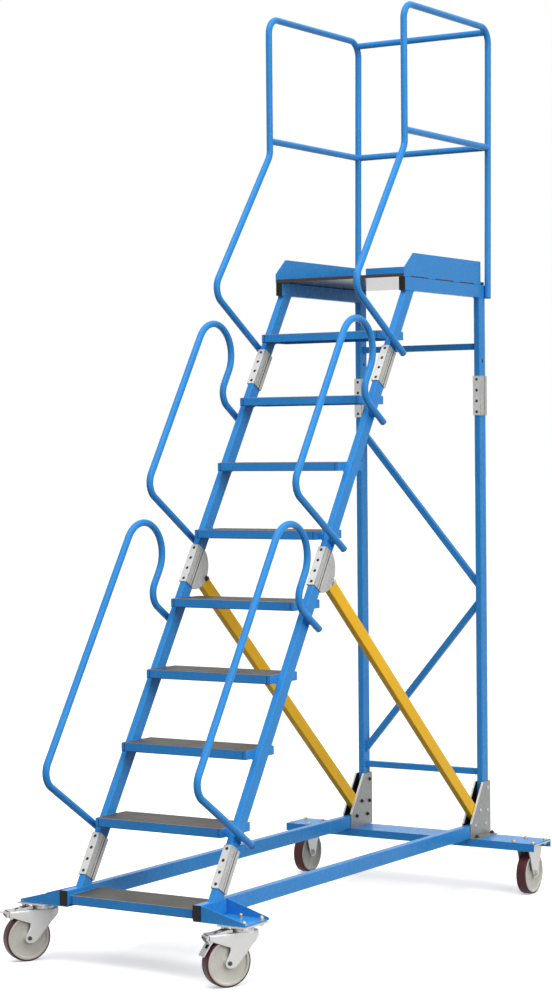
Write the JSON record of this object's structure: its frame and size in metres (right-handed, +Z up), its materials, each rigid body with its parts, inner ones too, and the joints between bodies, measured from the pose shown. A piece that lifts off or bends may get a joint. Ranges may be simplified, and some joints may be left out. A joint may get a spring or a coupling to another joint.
{
  "type": "mobile platform ladder",
  "caption": "Steel stair on casters with plywood treads, a railed platform, handrails, rear posts, yellow struts and galvanised sleeves.",
  "frame": {"origin": "centre of the footprint, on the floor", "axes": "+Z up, +Y from the bottom step towards the rear posts, +X to the right of a climber who faces up the stair"},
  "size_m": [1.114, 2.1976, 3.3815],
  "materials": {
    "blue_paint": "light blue powder coat, semi gloss",
    "yellow_paint": "golden yellow powder coat, semi gloss",
    "galvanised": "galvanised steel sheet",
    "zinc_plated": "bright zinc plated pressed steel",
    "tread_plywood": "film faced plywood, anti slip face",
    "deck_plywood": "film faced plywood, dark brown",
    "black_plastic": "black plastic plug",
    "nylon_core": "cream cast nylon",
    "tyre_polyurethane": "maroon polyurethane tread"
  },
  "bodies": {
    "ladder": {"step_frames": "blue_paint", "step_boards": "tread_plywood", "stringer_stubs": "blue_paint", "stringers_lower": "blue_paint", "stringers_middle": "blue_paint", "stringers_upper": "blue_paint", "base_rails": "blue_paint", "front_wing_right": "blue_paint", "front_wing_left": "blue_paint", "rear_beam": "blue_paint", "rear_posts_lower": "blue_paint", "rear_posts_upper": "blue_paint", "cross_rails": "blue_paint", "diagonals": "blue_paint", "platform_beams": "blue_paint", "toe_board_right": "blue_paint", "toe_board_left": "blue_paint", "toe_board_rear": "blue_paint", "handrail_lower_right": "blue_paint", "handrail_lower_left": "blue_paint", "handrail_upper_right": "blue_paint", "handrail_upper_left": "blue_paint", "guard_rail_right": "blue_paint", "guard_rail_left": "blue_paint", "guard_mid_rails": "blue_paint", "guard_rear_rails": "blue_paint", "handrail_saddles": "blue_paint", "sleeves_lower": "galvanised", "sleeves_middle": "galvanised", "sleeves_upper": "galvanised", "post_sleeves": "galvanised", "base_brackets": "galvanised", "struts": "yellow_paint", "deck": "deck_plywood", "end_caps": "black_plastic", "pipe_caps": "black_plastic", "caster_plate_front_right": "zinc_plated", "caster_fork_rear_right": "zinc_plated", "caster_plate_front_left": "zinc_plated", "caster_fork_rear_left": "zinc_plated"},
    "swivel_front_right": {"caster_fork_front_right": "zinc_plated", "caster_brake_front_right": "zinc_plated"},
    "wheel_front_right": {"wheel_core_front_right": "nylon_core", "wheel_tyre_front_right": "tyre_polyurethane"},
    "wheel_rear_right": {"wheel_core_rear_right": "nylon_core", "wheel_tyre_rear_right": "tyre_polyurethane"},
    "swivel_front_left": {"caster_fork_front_left": "zinc_plated", "caster_brake_front_left": "zinc_plated"},
    "wheel_front_left": {"wheel_core_front_left": "nylon_core", "wheel_tyre_front_left": "tyre_polyurethane"},
    "wheel_rear_left": {"wheel_core_rear_left": "nylon_core", "wheel_tyre_rear_left": "tyre_polyurethane"}
  },
  "joints": [
    {"name": "swivel_front_right", "type": "hinge", "parent": "ladder", "child": "swivel_front_right", "pos_m": [0.404, -0.91363, 0.185], "axis": [0, 0, 1], "continuous": true},
    {"name": "spin_front_right", "type": "hinge", "parent": "swivel_front_right", "child": "wheel_front_right", "pos_m": [0.374, -0.96559, 0.08], "axis": [0.866, -0.5, 0], "continuous": true},
    {"name": "spin_rear_right", "type": "hinge", "parent": "ladder", "child": "wheel_rear_right", "pos_m": [0.502, 0.98137, 0.08], "axis": [1, 0, 0], "continuous": true},
    {"name": "swivel_front_left", "type": "hinge", "parent": "ladder", "child": "swivel_front_left", "pos_m": [-0.404, -0.91363, 0.185], "axis": [0, 0, 1], "continuous": true},
    {"name": "spin_front_left", "type": "hinge", "parent": "swivel_front_left", "child": "wheel_front_left", "pos_m": [-0.434, -0.96559, 0.08], "axis": [0.866, -0.5, 0], "continuous": true},
    {"name": "spin_rear_left", "type": "hinge", "parent": "ladder", "child": "wheel_rear_left", "pos_m": [-0.502, 0.98137, 0.08], "axis": [1, 0, 0], "continuous": true}
  ]
}
